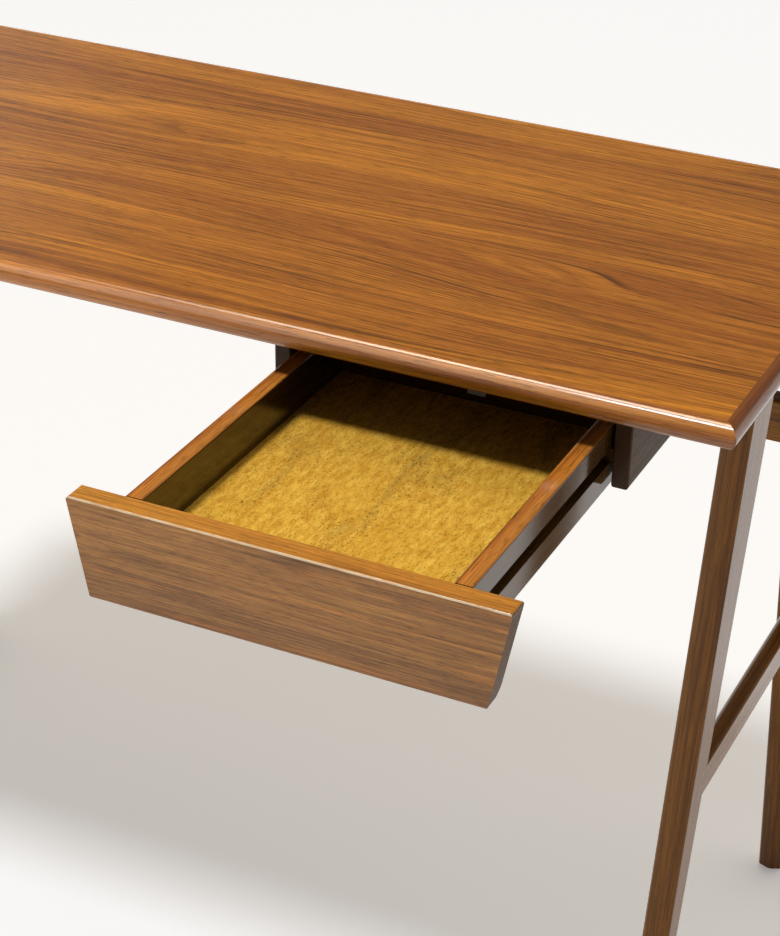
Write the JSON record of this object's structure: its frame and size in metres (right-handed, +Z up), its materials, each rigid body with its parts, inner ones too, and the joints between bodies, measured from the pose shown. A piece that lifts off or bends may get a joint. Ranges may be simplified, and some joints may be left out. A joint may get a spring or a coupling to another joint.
{
  "type": "writing desk with drawer",
  "caption": "Small walnut writing desk: thin round-edged top on two splayed, tapered side frames, with a hanging drawer whose slanted front stands below the top.",
  "frame": {"origin": "on the floor, in the middle of the box round the desk with its drawer pulled out", "axes": "+X along the top to the drawer's end, +Y from the sitter to the back edge, +Z up"},
  "size_m": [1.07, 0.731, 0.74],
  "materials": {
    "veneer": "satin lacquer over walnut veneer, grain along the desk",
    "backing_veneer": "plain backing veneer, unpolished",
    "board_core": "pressed board core",
    "lipping": "solid walnut lipping, satin lacquer",
    "frame_wood": "solid walnut, satin lacquer",
    "cheek_wood": "solid walnut, satin lacquer",
    "runner_wood": "waxed hardwood",
    "drawer_front_wood": "solid walnut, satin lacquer",
    "drawer_wood": "solid walnut, matt",
    "drawer_board": "pale plywood, lacquered",
    "screw_steel": "zinc plated",
    "glide": "dark nylon"
  },
  "bodies": {
    "desk": {"top_veneer": "veneer", "underside_veneer": "backing_veneer", "top_core": "board_core", "lipping_front": "lipping", "lipping_back": "lipping", "lipping_left": "lipping", "lipping_right": "lipping", "leg_front_left": "frame_wood", "leg_front_right": "frame_wood", "leg_back_left": "frame_wood", "leg_back_right": "frame_wood", "stretcher_left": "frame_wood", "stretcher_right": "frame_wood", "bearer_left": "frame_wood", "bearer_right": "frame_wood", "back_rail": "frame_wood", "glide_front_left": "glide", "glide_front_right": "glide", "glide_back_left": "glide", "glide_back_right": "glide", "bearer_screws": "screw_steel", "runner_screws": "screw_steel", "drawer_cheek_left": "cheek_wood", "drawer_cheek_right": "cheek_wood", "drawer_runner_left": "runner_wood", "drawer_runner_right": "runner_wood"},
    "drawer": {"drawer_front": "drawer_front_wood", "drawer_side_left": "drawer_wood", "drawer_side_right": "drawer_wood", "drawer_back": "drawer_wood", "drawer_bottom": "drawer_board", "drawer_bottom_screws": "screw_steel"}
  },
  "joints": [
    {"name": "drawer_slide", "type": "slide", "parent": "desk", "child": "drawer", "axis": [0, -1, 0], "range_m": [-0.2537, 0.04]}
  ]
}
